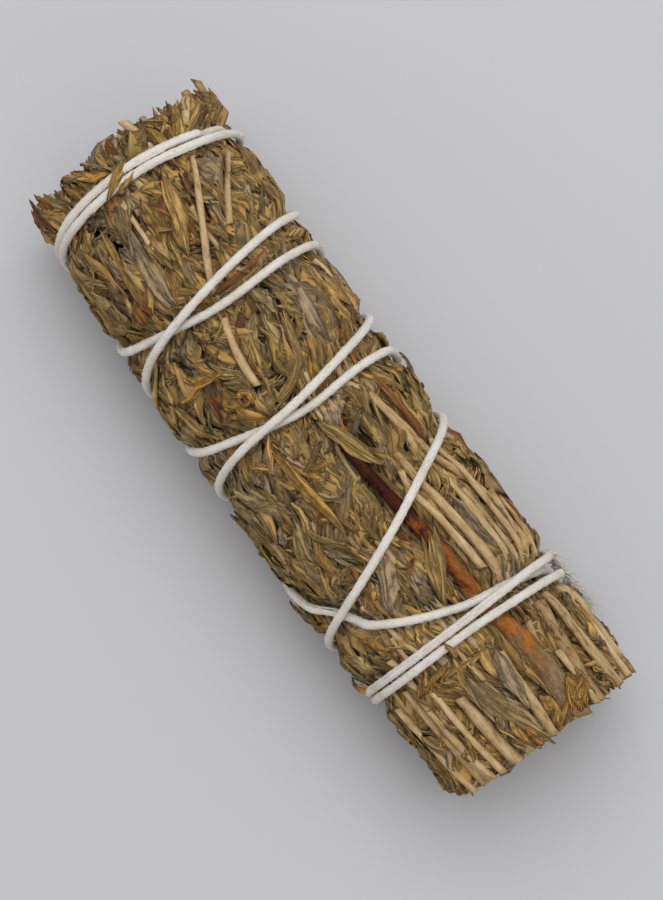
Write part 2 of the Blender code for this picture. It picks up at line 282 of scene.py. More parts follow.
def finish_surface(tree, shader, body, height, depth_mm, strength=1.0):
    """Gives the shader its colour and its relief of this depth."""
    tree.links.new(body, shader.inputs["Base Color"])
    links = {"Height": height, "Distance": depth_mm * MM, "Strength": strength}
    tree.links.new(add(tree, "Bump", links), shader.inputs["Normal"])


def leaf_material():
    """Air-dried sage leaves: matte and velvety, from grey-green to khaki, ochre and rust.

    Drying has drawn every leaf into lengthwise creases about half a millimetre apart. Painted shade
    darkens the creases, and the ridges between them are painted paler, as if lit.
    """
    made, tree, shader = start("dried sage leaf", 0.85, 0.16, 0.08)
    tone = add(tree, "Attribute", attribute_name="tone")
    kind, shade, warm = add(tree, "SeparateColor", {"Color": tone}).node.outputs
    stops = ((0.0, "b39a78"), (0.12, "aa9164"), (0.26, "af9158"), (0.42, "bd9857"),
             (0.58, "cba363"), (0.70, "bb9350"), (0.80, "bd9143"), (0.89, "a96f38"),
             (0.96, "85502c"), (1.0, "a58f7d"))
    base = add(tree, "ValToRGB", {"Fac": kind}, stops=stops)
    # Every leaf takes its creases from its own part of the pattern
    links = {"X": tone.node.outputs["Alpha"], "Y": shade, "Z": warm}
    seed = add(tree, "CombineXYZ", links)
    far = add(tree, "VectorMath", {0: seed, 1: (37, 53, 41)}, operation="MULTIPLY")
    uv = add(tree, "UVMap", uv_map="leaf")
    own = add(tree, "VectorMath", {0: uv, 1: far}, operation="ADD")
    long_way = add(tree, "Mapping", {"Vector": own, "Scale": (1.3, 3.0, 1.0)})
    links = {"Vector": long_way, "Scale": 1.0, "Detail": 3.0, "Roughness": 0.55, "Distortion": 0.4}
    folds = add(tree, "TexNoise", links, "Fac")
    # Narrow lines where the pattern passes through its middle value: the creases, later painted dark as
    # shade
    crease = add(tree, "Math", {0: folds, 1: 0.5}, operation="SUBTRACT")
    crease = add(tree, "Math", {0: crease}, operation="ABSOLUTE")
    crease = add(tree, "Math", {0: crease, 1: 9.0}, operation="MULTIPLY", use_clamp=True)
    flakes = object_noise(tree, 1.1, (0.7, 1, 1), 4.0, 0.7)
    blotches = object_noise(tree, 0.42, detail=4.0, roughness=0.65)
    # Painted light and shade: paler along the ridges, browner with painted shade in the creases
    light = add(tree, "Math", {0: crease, 1: 0.60, 2: -0.11}, operation="MULTIPLY_ADD")
    light = add(tree, "Math", {0: flakes, 1: 0.9, 2: light}, operation="MULTIPLY_ADD")
    level = add(tree, "Math", {0: shade, 1: 0.74, 2: 0.56}, operation="MULTIPLY_ADD")
    level = add(tree, "Math", {0: light, 1: level}, operation="MULTIPLY")
    body = darkened(tree, base, level)
    stops = ((0.3, "4d3218"), (0.5, "7d5628"), (0.7, "a17638"))
    brown = add(tree, "ValToRGB", {"Fac": flakes}, stops=stops)
    links = {0: blotches, 1: 5.0, 2: -2.5}
    spots = add(tree, "Math", links, operation="MULTIPLY_ADD", use_clamp=True)
    share = add(tree, "Math", {0: warm, 1: 0.65, 2: 0.08}, operation="MULTIPLY_ADD")
    share = add(tree, "Math", {0: spots, 1: share}, operation="MULTIPLY")
    body = add(tree, "Mix", {"Factor": share, 6: body, 7: brown}, 2, data_type="RGBA")
    height = add(tree, "Math", {0: flakes, 1: 1.1, 2: crease}, operation="MULTIPLY_ADD")
    finish_surface(tree, shader, body, height, 0.28)
    return made


def straw_material():
    """Dry woody stem: straw brown with fine grooves along it and darker scars."""
    made, tree, shader = start("dry straw stem", 0.8, 0.2)
    tone = add(tree, "Attribute", attribute_name="tone")
    kind, shade, _ = add(tree, "SeparateColor", {"Color": tone}).node.outputs
    grooves = object_noise(tree, 3.0, (0.14, 1, 1), 4.0, 0.65)
    patches = object_noise(tree, 0.7, (0.5, 1, 1), 5.0, 0.72)
    pale = add(tree, "Math", {0: kind, 1: 0.35, 2: -0.38}, operation="MULTIPLY_ADD")
    pale = add(tree, "Math", {0: grooves, 1: 0.5, 2: pale}, operation="MULTIPLY_ADD")
    pale = add(tree, "Math", {0: patches, 1: 0.9, 2: pale}, operation="MULTIPLY_ADD")
    stops = ((0.22, "4a2f18"), (0.32, "7d5c38"), (0.43, "a98c60"), (0.58, "c2a67a"),
             (0.75, "d2bc94"))
    body = add(tree, "ValToRGB", {"Fac": pale}, stops=stops)
    level = add(tree, "Math", {0: shade, 1: 0.5, 2: 0.62}, operation="MULTIPLY_ADD")
    height = add(tree, "Math", {0: patches, 1: 1.6, 2: grooves}, operation="MULTIPLY_ADD")
    finish_surface(tree, shader, darkened(tree, body, level), height, 0.2)
    return made


def bark_material():
    """Woody stem that sheds its bark: dark rust bark, orange inner bark, grey-brown bare wood."""
    made, tree, shader = start("flaking rust bark", 0.85, 0.15)
    coords = add(tree, "TexCoord", None, "Object")
    along = add(tree, "SeparateXYZ", {"Vector": coords}, "X")
    grooves = object_noise(tree, 2.2, (0.16, 1, 1), 5.0, 0.7)
    patches = object_noise(tree, 0.34, (0.55, 1, 1), 5.0, 0.75)
    flecks = object_noise(tree, 1.3, (0.5, 1, 1), 4.0, 0.7)
    # From 0 at the thin end of the stem to 1 at its sawn end, with a ragged change between
    wander = add(tree, "Math", {0: patches, 1: 1.1, 2: -0.55}, operation="MULTIPLY_ADD")
    links = {0: along, 1: 1 / (BARK_END * MM), 2: wander}
    part = add(tree, "Math", links, operation="MULTIPLY_ADD", use_clamp=True)
    stops = ((0.1, "3a1c10"), (0.3, "552d1a"), (0.42, "a05c2a"), (0.55, "8f6238"),
             (0.66, "b96f2c"), (0.76, "8a6a48"), (0.9, "9c8260"))
    body = add(tree, "ValToRGB", {"Fac": part}, stops=stops)
    light = add(tree, "Math", {0: grooves, 1: 0.9, 2: flecks}, operation="MULTIPLY_ADD")
    light = add(tree, "Math", {0: light, 1: 1.5, 2: -0.42}, operation="MULTIPLY_ADD")
    height = add(tree, "Math", {0: flecks, 1: 1.4, 2: grooves}, operation="MULTIPLY_ADD")
    finish_surface(tree, shader, darkened(tree, body, light), height, 0.5)
    return made


def cut_material():
    """Sawn end of a woody stem: pale wood, brown pith and bark edge."""
    made, tree, shader = start("cut stem wood", 0.85, 0.2)
    grain = object_noise(tree, 2.5, (0.3, 1, 1), 4.0, 0.65)
    stops = ((0.25, "4a3018"), (0.42, "8a6232"), (0.58, "b08a52"), (0.8, "c7ab78"))
    body = add(tree, "ValToRGB", {"Fac": grain}, stops=stops)
    finish_surface(tree, shader, body, grain, 0.2, 0.8)
    return made


def inner_leaf_painted_shade_material():
    """Crushed leaf in the shade between sprigs, with that shade painted into its colour as near black."""
    made, tree, shader = start("crushed inner leaf in painted shade", 0.95, 0.1)
    flakes = object_noise(tree, 0.9, (0.35, 1, 1), 5.0, 0.7)
    # Painted shade: the browns run down to near black for the shade deep between the sprigs
    stops = ((0.3, "0e0905"), (0.45, "24190c"), (0.58, "4a3519"), (0.72, "76582b"))
    body = add(tree, "ValToRGB", {"Fac": flakes}, stops=stops)
    finish_surface(tree, shader, body, flakes, 0.8)
    return made


def cotton_material():
    """Plain white cotton twine: soft matte fibres, a little soiled in places."""
    made, tree, shader = start("cotton twine", 0.9, 0.15, 0.25)
    fibres = object_noise(tree, 5.0, detail=3.0, roughness=0.6)
    soil = object_noise(tree, 0.25, detail=3.0)
    stops = ((0.25, "c9c2b8"), (0.5, "dfdad2"), (0.75, "efebe5"))
    body = add(tree, "ValToRGB", {"Fac": fibres}, stops=stops)
    stain = add(tree, "ValToRGB", {"Fac": soil}, stops=((0.4, "ffffff"), (0.75, "efe8da")))
    links = {"Factor": 1.0, 6: body, 7: stain}
    body = add(tree, "Mix", links, 2, data_type="RGBA", blend_type="MULTIPLY")
    finish_surface(tree, shader, body, fibres, 0.12, 0.8)
    return made


LEAF = leaf_material()
STRAW = straw_material()
BARK = bark_material()
CUT = cut_material()
INNER_LEAF_PAINTED_SHADE = inner_leaf_painted_shade_material()
COTTON = cotton_material()


# ---- building with many small shapes
SMALL_MESH = 600  # corners; the operators are quick on a mesh up to about this size


class Heap:
    """Small sheets and rods gathered in one mesh, each with its own tone."""

    def __init__(self):
        self.whole = bmesh.new()
        self.mesh = bmesh.new()
        self.mesh.loops.layers.uv.new("leaf")
        self.points = []
        self.tones = []
        self.templates = {}

    def gather(self):
        """Adds the latest shapes to the whole."""
        part = bpy.data.meshes.new("part")
        self.mesh.to_mesh(part)
        self.mesh.free()
        self.whole.from_mesh(part)
        bpy.data.meshes.remove(part)
        self.mesh = bmesh.new()
        self.mesh.loops.layers.uv.new("leaf")

    def sheet(self, along, across):
        """Adds a flat grid; returns its corners as u (0 to 1) and v (-1 to 1)."""
        if len(self.mesh.verts) > SMALL_MESH:
            self.gather()
        made = bmesh.ops.create_grid(
            self.mesh, x_segments=along, y_segments=across, size=1.0, calc_uvs=True
        )
        key = ("sheet", along, across)
        if key not in self.templates:
            flat = np.array([vertex.co[:2] for vertex in made["verts"]])
            flat /= np.abs(flat).max(axis=0)
            self.templates[key] = ((flat[:, 0] + 1) / 2, flat[:, 1])
        return self.templates[key]

    def rod(self, rings, sides, cut_slot=1):
        """Adds a closed rod; returns its corners as u (0 to 1), cosine and sine."""
        if len(self.mesh.verts) > SMALL_MESH:
            self.gather()
        first = len(self.mesh.verts)
        made = bmesh.ops.create_cone(
            self.mesh, cap_ends=True, segments=sides, radius1=1.0, radius2=1.0, depth=1.0
        )["verts"]
        edges = {edge for vertex in made for edge in vertex.link_edges}
        for face in {face for edge in edges for face in edge.link_faces}:
            face.material_index = cut_slot if len(face.verts) > 4 else 0
        long_edges = [e for e in edges if abs(e.verts[0].co.z - e.verts[1].co.z) > 0.5]
        bmesh.ops.subdivide_edges(self.mesh, edges=long_edges, cuts=rings)
        key = ("rod", rings, sides)
        if key not in self.templates:
            self.mesh.verts.ensure_lookup_table()
            shape = np.array([self.mesh.verts[i].co for i in range(first, len(self.mesh.verts))])
            self.templates[key] = (shape[:, 2] + 0.5, shape[:, 0], shape[:, 1])
        return self.templates[key]

    def keep(self, points, tone):
        self.points.append(points)
        self.tones.append(np.tile(tone, (len(points), 1)))

    def finish(self, name, materials, thickness=0.0):
        self.gather()
        data = bpy.data.meshes.new(name)
        self.whole.to_mesh(data)
        self.whole.free()
        self.mesh.free()
        data.vertices.foreach_set("co", np.concatenate(self.points).ravel())
        data.attributes.new("tone", "FLOAT_COLOR", "POINT")
        data.attributes["tone"].data.foreach_set("color", np.concatenate(self.tones).ravel())
        for material in materials:
            data.materials.append(material)
        data.polygons.foreach_set("use_smooth", [True] * len(data.polygons))
        data.update()
        piece = bpy.data.objects.new(name, data)
        bpy.context.scene.collection.objects.link(piece)
        if thickness:
            shell = piece.modifiers.new("leaf thickness", "SOLIDIFY")
            shell.thickness = thickness * MM
            shell.offset = 0.0
        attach(piece, "root")
        return piece


def smooth_path(places, count=25):
    """Evenly spread points of a line through places, with its corners rounded."""
    places = np.array(places, float)
    places[:, 0] = np.clip(places[:, 0], *ENDS)
    arcs = places.copy()
    arcs[:, 1] = np.radians(places[:, 1]) * MEAN_RADIUS
    steps = np.hypot(*np.diff(arcs[:, :2], axis=0).T)
    so_far = np.concatenate([[0.0], np.cumsum(steps)])
    at = np.linspace(0, so_far[-1], count)
    path = np.stack([np.interp(at, so_far, places[:, k]) for k in range(places.shape[1])], axis=1)
    for _ in range(6):
        path[1:-1] = (path[:-2] + 2 * path[1:-1] + path[2:]) / 4
    return path, so_far[-1]


PROFILES = {
    "lance": lambda u: np.maximum(np.sin(np.pi * u**0.8), 0.0) ** 0.6 * 0.85 + 0.15,
    "strip": lambda u: np.minimum(1.0, np.minimum(0.45 + 4 * u, 0.3 + 4.5 * (1 - u))),
    "lobed": lambda u: 0.30 + 0.70 * smooth(1.6 * u),
    "broad": lambda u: np.maximum(np.sin(np.pi * np.clip(u, 0.02, 0.97) ** 0.9), 0.05) ** 0.45,
    "torn": lambda u: 0.75 + 0.25 * np.sin(7 * u),
}
GRIDS = {"lance": (7, 4), "strip": (6, 4), "lobed": (7, 6), "broad": (8, 6), "torn": (9, 4)}


def add_leaf(heap, places, width, kind, depth, tone, rng, table, curl=0.6, fold=0.0, roll=0.0,
             twist=0.0, arch=0.4, ridge=0.12, wave=0.12):
    """One dried leaf along places, its base at the first of them.

    depth is (at the base, at the tip) below the skin. curl bends it across, fold creases it
    along the middle, roll tips it sideways.
    """
    path, _ = smooth_path(places)
    u, v = heap.sheet(*GRIDS[kind])
    at = np.linspace(0, 1, len(path))
    phase = rng.uniform(0, 6.28, 6)
    lobes = (1 - np.cos(3 * np.pi * v)) / 2
    # Torn and shrivelled outlines: the two edges differ, and the ends are ragged
    reach = u + 0.07 * np.sin(2.6 * v + phase[0]) * (2 * u - 1)
    reach = reach + 0.05 * np.sin(6 * v + phase[1]) * u
    if kind == "lobed":
        reach = reach - 0.26 * u * lobes * smooth(2 * u - 0.8)
    elif kind == "torn":
        reach = u * (1 - 0.06 * np.abs(np.sin(5 * v + 3))) + 0.04 * np.sin(4 * v)
    reach = np.clip(reach, -0.1, 1.1)
    run_on = np.clip(reach, 0, 1)
    x = np.interp(run_on, at, path[:, 0]) + (reach - run_on) * (path[-1, 0] - path[0, 0])
    angle = np.interp(run_on, at, path[:, 1]) + (reach - run_on) * (path[-1, 1] - path[0, 1])
    level = depth[0] + (depth[1] - depth[0]) * u
    local = np.maximum(skin_radius(x, angle) - level, 2.5)
    run = np.gradient(path[:, 0])
    rise = np.gradient(np.radians(path[:, 1])) * local.mean()
    heading = np.arctan2(np.interp(run_on, at, rise), np.interp(run_on, at, run))
    half = width / 2 * PROFILES[kind](u)
    ragged = 1 + 0.22 * np.sin(5 * u + phase[2] + 1.5 * v)
    half = half * (ragged + 0.13 * np.sin(11 * u + phase[3] - 2 * v))
    curl = curl + 1e-3
    side = half * np.sin(curl * v) / curl
    height = -half * (1 - np.cos(curl * v)) / curl - fold * np.abs(v) * half
    if kind == "lobed":
        height = height - ridge * 2.2 * lobes * smooth(1.6 * u)
    height = height + ridge * np.cos((2 + 2 * half) * v * 1.6 + phase[4] + 2 * u)
    height = height + wave * np.sin(8 * u + phase[5])
    height = height + 0.6 * wave * np.sin(15 * u + 3 * v + phase[0])
    height = height + arch * (4 * u * (1 - u) - 0.5)
    tip = roll + twist * (u - 0.5)
    c, s = np.cos(tip), np.sin(tip)
    side, height = side * c - height * s, side * s + height * c
    x = x - side * np.sin(heading)
    angle = angle + np.degrees(side * np.cos(heading) / local)
    pressed = lookup(table, x, angle)
    below = np.maximum(level - height, -0.5)
    below = pressed + below * (1 - 0.5 * np.minimum(pressed / 3.4, 1.0))
    heap.keep(place(x, angle, skin_radius(x, angle) - below), tone)


def add_stem(heap, places, widths, sink, tone, rng, sides=8, lumps=0.08, table=None, lean=0.0):
    """A woody stem along places; widths are diameters along it, sink is how deep its top lies."""
    path, length = smooth_path(places)
    rings = max(4, int(length / 1.3))
    u, c, s = heap.rod(rings, sides)
    at = np.linspace(0, 1, len(path))
    top = sink if np.ndim(sink) else np.full(len(path), float(sink))
    if table is not None:
        top = np.maximum(top, lookup(table, path[:, 0], path[:, 1]) + 0.12)
        for _ in range(4):
            top[1:-1] = np.maximum(top[1:-1], (top[:-2] + top[2:]) / 2)
    width = np.interp(u, np.linspace(0, 1, len(widths)), widths)
    x = np.interp(u, at, path[:, 0])
    angle = np.interp(u, at, path[:, 1])
    phase = rng.uniform(0, 6.28, 4)
    turn = np.arctan2(s, c)
    lump = 1 + lumps * (np.sin(2.1 * u * length / 3 + phase[0] + 2 * turn)
                        + 0.7 * np.sin(1.3 * u * length + phase[1] + 3 * turn)
                        + 0.5 * np.sin(3 * turn + phase[2]))
    radius = width / 2 * lump
    middle = skin_radius(x, angle) - np.interp(u, at, top) - width / 2
    ends = (u < 1e-6) | (u > 1 - 1e-6)
    x = x + np.where(ends, lean * c * width / 2, 0.0)
    centre = place(x, angle, np.maximum(middle, 0.2))
    a = np.radians(angle)
    out = np.stack([0 * a, np.cos(a), np.sin(a)], axis=1)
    # The way round is chosen so that the faces point outwards whichever way the stem runs
    round_it = np.stack([0 * a, -np.sin(a), np.cos(a)], axis=1) * np.sign(path[0, 0] - path[-1, 0])
    shape = centre + (round_it * (c * radius)[:, None] + out * (s * radius)[:, None]) * MM
    shape[:, 2] = np.maximum(shape[:, 2], 0.05 * MM)
    heap.keep(shape, tone)


# ---- named stems, bark and leaves
# name, widths, sink of its top, tone (kind, shade), places (x, angle)
STEMS = (
    ("straight_stem", (1.1, 1.3, 1.4, 1.3), 1.3, (0.75, 0.8), (-47, 56), (-37.5, 75), (-29.5, 92),
     (-17, 105), (-12.5, 104)),
    ("short_tip_stem", (1.0, 1.2, 1.3), 1.2, (0.6, 0.7), (-45, 33), (-40, 50), (-35, 62)),
    ("forked_stem", (0.9, 1.2, 1.4, 1.6), 1.2, (0.55, 0.75), (0.5, 50), (8.5, 43), (13, 40), (18.5, 27),
     (25, 21), (31, 20)),
    ("tan_stem", (1.2, 1.6, 1.5), 1.3, (0.6, 0.8), (8, 61), (15, 58), (23.5, 55), (33, 52)),
    ("slim_stem", (1.0, 1.3, 1.3), 1.4, (0.5, 0.7), (18, 40), (26, 38), (33.5, 38)),
    ("knobbly_stem", (1.9, 2.5, 2.0, 2.3), 1.3, (0.3, 0.45), (38.5, 44), (45, 47), (51, 51), (56, 52)),
    ("pale_stem_a", (1.5, 1.6, 1.7), 1.1, (0.6, 0.7), (38, 36), (47, 34), (56.8, 31)),
    ("pale_stem_b", (1.3, 1.4, 1.4), 1.2, (0.65, 0.75), (38.5, 14), (48, 17), (56.3, 20)),
    ("pale_stem_c", (1.4, 1.6, 1.8), 1.2, (0.6, 0.75), (41, 84), (49, 86), (56.8, 89)),
    ("pale_stem_d", (1.8, 2.1, 2.2), 1.2, (0.55, 0.65), (43, 120), (50, 119), (56.8, 118)),
    ("pale_stem_e", (1.2, 1.3, 1.4), 1.2, (0.55, 0.7), (37.5, 145), (47, 144), (56, 143)),
)
BARK_PLACES = ((3, 84), (10, 80), (19, 76), (26, 73), (34, 70), (45, 65), (56.2, 67))
BARK_WIDTHS = (1.5, 1.9, 2.2, 2.8, 3.3, 4.2, 4.3)

# name, kind, width, depth (base, tip), tone (kind, shade, warm), shape, places
LEAVES = (
    ("bark_strip", "torn", 2.5, (0.9, 0.8), (0.90, 0.85, 0.9), dict(curl=0.9, arch=0.2), (-13, 42),
     (-4, 44), (3, 43), (9.3, 40)),
    ("purple_leaf", "broad", 2.8, (1.0, 0.7), (0.0, 0.5, 0.1), dict(curl=0.9, wave=0.2), (-12.5, 53),
     (-18.4, 54), (-25.3, 50)),
    ("grey_leaf", "broad", 3.2, (0.9, 0.6), (0.05, 0.6, 0.1), dict(curl=0.6, wave=0.2, ridge=0.22),
     (-29.4, 118), (-36, 117), (-42.5, 114)),
    ("ochre_leaf", "strip", 1.9, (1.0, 0.7), (0.72, 0.55, 0.6), dict(curl=1.2), (-31, 132), (-38, 130),
     (-45.4, 127)),
    ("hooked_leaf", "strip", 2.1, (0.9, 0.7), (0.3, 0.75, 0.2), dict(curl=1.3), (-8.5, 103), (-9.2, 88),
     (-11.5, 76), (-19.5, 68)),
    ("golden_leaf", "lance", 2.4, (0.9, 0.6), (0.74, 0.7, 0.7), dict(curl=1.1, wave=0.2), (-4.9, 119),
     (3.9, 115), (12.7, 112)),
    ("olive_leaf", "broad", 2.8, (1.0, 0.5), (0.28, 0.6, 0.2), dict(curl=0.7, wave=0.2, ridge=0.2),
     (7.6, 74), (3, 81), (-2.5, 88)),
    ("crumpled_leaf", "broad", 4.6, (1.2, 0.6), (0.02, 0.6, 0.0), dict(curl=0.8, wave=0.3, ridge=0.24),
     (18.5, 103), (23, 110), (28, 121)),
    ("spatulate_leaf", "broad", 3.7, (0.9, 0.5), (0.16, 0.62, 0.3), dict(curl=0.5, ridge=0.2, wave=0.2),
     (42, 106), (49, 102), (55.4, 92)),
    ("lobed_leaf", "lobed", 3.6, (1.0, 0.5), (0.34, 0.65, 0.1), dict(curl=0.6, wave=0.2), (31, 94),
     (26, 84), (19.4, 74)),
    ("tip_leaf", "broad", 3.0, (1.0, 0.6), (0.45, 0.75, 0.3), dict(curl=0.5), (-35, 93), (-40, 86),
     (-46.5, 80)),
)


def cover_table():
    """How far down the common leaves are kept, so that string, stems and named leaves show."""
    table = UNDER_STRING.copy()
    for _, widths, sink, _, *places in STEMS:
        away = distance_table(places)
        width = max(widths)
        table = np.maximum(table, (sink + 0.55 * width) * smooth((width / 2 + 1.7 - away) / 1.7))
    away = distance_table(BARK_PLACES)
    table = np.maximum(table, 3.2 * smooth((3.6 - away) / 2.2))
    for _, _, width, depth, _, _, *places in LEAVES:
        away = distance_table(places)
        table = np.maximum(table, (depth[0] + 0.3) * smooth((width / 2 + 0.3 - away) / 1.2))
    return table


COVER = cover_table()

# ---- common leaves and stems
OUTER, INNER = 12, 6
LEAF_THICKNESS = 0.2
NAMED_LEAF_THICKNESS = 0.25
LITTER_THICKNESS = 0.4
# Layers of leaves on an outer sprig: depth below the skin, how many leaves, whether small
LAYERS = ((2.5, 46, 0), (1.6, 60, 0), (1.3, 44, 1), (0.85, 56, 0), (0.7, 40, 1))


def pick_tone(rng, x, angle):
    """(kind, shade, warm, seed) of a leaf; colours come in loose patches."""
    patch = math.sin(x / 9.0 + angle / 31.0) + math.sin(x / 5.3 - angle / 17.0 + 2.0)
    chance = rng.random()
    if chance < 0.08 + (0.10 if x < -50 else 0.0):
        kind = rng.uniform(0.66, 0.82)
    elif chance < 0.11 + (0.12 if x < -50 else 0.0):
        kind = rng.uniform(0.84, 0.97)
    else:
        kind = min(max(rng.gauss(0.32 + 0.07 * patch, 0.18), 0.0), 0.64)
    return (kind, rng.betavariate(2.2, 1.8), rng.random() ** 1.5, rng.random())


def common_leaf(heap, rng, x, angle, depth, near_end=0.0, small=0.0):
    """A leaf at this place with a random size, set and tone; small ones are torn pieces."""
    woody = smooth(np.array((x - 6.0) / 12.0)) * (20 < angle < 85)
    kinds = ("strip", "lance", "lobed", "broad")
    kind = rng.choices(kinds, (0.16 + 0.5 * woody, 0.16, 0.34 * (1 - woody) + 0.02, 0.34))[0]
    length = rng.uniform(7.0, 14.0) * (1.0 - 0.35 * near_end)
    width = {"strip": rng.uniform(1.0, 1.9), "lance": rng.uniform(2.0, 3.4),
             "lobed": rng.uniform(3.2, 5.4), "broad": rng.uniform(3.0, 5.2)}[kind]
    if small:
        length = rng.uniform(3.0, 7.0)
        width = rng.uniform(0.8, 2.2)
    spread = 12.0 if woody else 22.0 + 16.0 * small
    heading = rng.gauss(9.0 * math.sin(x / 14.0 + angle / 50.0), spread)
    if rng.random() < 0.05:
        heading += rng.choice((-55.0, 50.0))
    sign = -1.0 if rng.random() < 0.72 else 1.0
    bend = rng.gauss(0.0, 0.11) * length
    local = max(skin_radius(x, angle) - depth, 3.0)
    dx, dy = math.cos(math.radians(heading)), math.sin(math.radians(heading))
    places = []
    for t in (-0.5, 0.0, 0.5):
        off = bend * (1 - 4 * t * t)
        px = x + sign * (length * t * dx) - off * dy
        py = sign * (length * t * dy) + off * dx
        px = min(max(px, -56.1 + rng.uniform(0, 1.0)), 55.6 - rng.uniform(0, 0.9))
        places.append((px, angle + math.degrees(py / local)))
    tone = pick_tone(rng, x, angle)
    top = depth - rng.uniform(0.1, 0.8)
    if near_end:
        roll = rng.uniform(-1.5, 1.5) * near_end + rng.gauss(0, 0.3)
    else:
        roll = rng.gauss(0, 0.35)
    add_leaf(heap, places, width, kind, (depth + 0.6, max(top, 0.1)), tone, GENERATOR, COVER,
             curl=rng.uniform(0.5, 2.0) if width < 2.6 else rng.uniform(0.2, 1.1),
             fold=rng.uniform(-0.25, 0.4), roll=roll, twist=rng.gauss(0, 0.6),
             arch=rng.uniform(0.0, 0.5), ridge=rng.uniform(0.08, 0.24),
             wave=rng.uniform(0.06, 0.24))


GENERATOR = np.random.default_rng(7)


def seam(ring, index, count, x):
    index %= count
    width = 360.0 / count
    base = width * index + width * 0.16 * math.sin(2.4 * index + ring)
    return base + width * 0.13 * math.sin(x / 13.0 + 1.9 * index + 2.0 * ring)


def cell(ring, index, count, x):
    low = seam(ring, index, count, x)
    high = seam(ring, index + 1, count, x)
    return low, high + 360.0 if high <= low else high


def inner_body(heap, ring, index, count, shares):
    steps, across = 36, 6
    u, v = heap.sheet(steps, across)
    x = -54.6 + 108.6 * u
    edges = np.array([cell(ring, index, count, value) for value in x])
    angle = edges[:, 0] - 2.0 + (edges[:, 1] - edges[:, 0] + 4.0) * (v + 1) / 2
    skin = skin_radius(x, angle)
    rough = 0.45 * np.sin(x * 1.9 + angle / 5) + 0.35 * np.sin(x * 0.8 - angle / 3 + index)
    depth = 3.0 + rough * 0.6 + 0.75 * lookup(COVER, x, angle)
    ends = smooth((np.abs(x) - 52.5) / 2.2)
    radius = skin * shares[1] - depth * (1.0 if shares[1] >= 1 else 0.3)
    radius = radius - ends * (radius - skin * shares[0]) * 0.98
    heap.keep(place(x, angle, np.maximum(radius, 0.3)), (0, 0, 0, 0))


def build_sprig(number, ring, index, count, shares):
    """A leafy sprig: its crushed middle, its stems and its leaves."""
    rng = random.Random(100 + number)
    wood = Heap()
    leaves = Heap()
    outer = shares[1] >= 1.0

    def somewhere(x):
        low, high = cell(ring, index, count, x)
        return low + (high - low) * rng.random()

    if outer:
        for depth, number_of, small in LAYERS:
            for k in range(number_of):
                x = -54.5 + 109.0 * (k + rng.random()) / number_of
                depth_here = depth + rng.uniform(-0.4, 0.4)
                common_leaf(leaves, rng, x, somewhere(x), depth_here, small=small)
    # Leaves that show in the two ends
    share = 54 if outer else 34
    for end in (-1, 1):
        for k in range(share):
            x = end * rng.uniform(50.0, 54.4)
            angle = somewhere(x)
            skin = float(skin_radius(x, angle))
            inside = shares[0] + (shares[1] - shares[0]) * (k + rng.random()) / share
            common_leaf(leaves, rng, x, angle, max(skin * (1 - inside), 0.6), 1.0, k % 3 > 0)
    # Stems: many at the cut end, some among the leaves
    for k in range(4 if outer else 5):
        start_x = rng.uniform(20, 40)
        angle = somewhere(50.0)
        skin = float(skin_radius(50.0, angle))
        inside = rng.uniform(shares[0] + 0.05, shares[1] - 0.02)
        width = rng.uniform(1.0, 2.3)
        sink = max(skin * (1 - inside) - width / 2, 1.2)
        drift = rng.gauss(0, 5)
        places = ((start_x, angle + drift), (44, angle + drift * 0.4),
            (56.6 - rng.uniform(0, 1.4), angle))
        tone = (rng.random(), rng.random(), 0, 0)
        add_stem(wood, places, (width * 0.8, width, width), sink, tone, GENERATOR, 8, 0.06,
                 COVER, rng.uniform(-0.5, 0.5))
    for k in range(2):
        angle = somewhere(-50.0)
        skin = float(skin_radius(-50.0, angle))
        inside = rng.uniform(shares[0] + 0.05, shares[1] - 0.02)
        width = rng.uniform(0.8, 1.5)
        places = ((-57.0 + rng.uniform(0, 2.0), angle), (-44, angle + rng.gauss(0, 5)))
        tone = (rng.random(), rng.random(), 0, 0)
        add_stem(wood, places, (width, width), max(skin * (1 - inside) - width / 2, 1.0), tone,
                 GENERATOR, 8, 0.06, COVER, rng.uniform(-0.6, 0.6))
    if outer:
        for k in range(7):
            x = rng.uniform(-45, 30) if k < 3 else rng.uniform(5, 45)
            length = rng.uniform(12, 26)
            angle = somewhere(x)
            width = rng.uniform(0.7, 1.3)
            lean = rng.gauss(0, 7)
            places = ((x, angle - lean / 2), (x + length / 2, angle),
                (min(x + length, 56.5), angle + lean / 2))
            tone = (rng.random(), rng.uniform(0.3, 0.9), 0, 0)
            add_stem(wood, places, (width * 0.8, width), rng.uniform(0.9, 1.8), tone, GENERATOR, 7,
                     0.06, COVER)
    # The crushed middle is a sheet in the painted shade material, so gaps between the leaves show dark
    body = Heap()
    inner_body(body, ring, index, count, shares)
    node = f"leafy_sprig_{number:02d}"
    made = [
        leaves.finish(f"sprig_{number:02d}_leaves", [LEAF], LEAF_THICKNESS),
        wood.finish(f"sprig_{number:02d}_stems", [STRAW, CUT]),
        body.finish(f"sprig_{number:02d}_crushed_leaf_painted_shade", [INNER_LEAF_PAINTED_SHADE], LITTER_THICKNESS),
    ]
    for piece in made:
        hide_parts(node)


build_sprig(1, 0, 0, 1, (0.0, 0.24))
for k in range(INNER):
    build_sprig(2 + k, 0, k, INNER, (0.22, 0.55))
for k in range(OUTER):
    build_sprig(2 + INNER + k, 1, k, OUTER, (0.53, 1.0))

# ---- named pieces
for name, widths, sink, tone, *places in STEMS:
    heap = Heap()
    rng = np.random.default_rng(len(name) + int(places[0][0]) + 60)
    add_stem(heap, places, widths, sink, (*tone, 0, 0), rng, 10, 0.07, UNDER_STRING, 0.3)
    piece = heap.finish(name + "_wood", [STRAW, CUT])
    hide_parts(name)

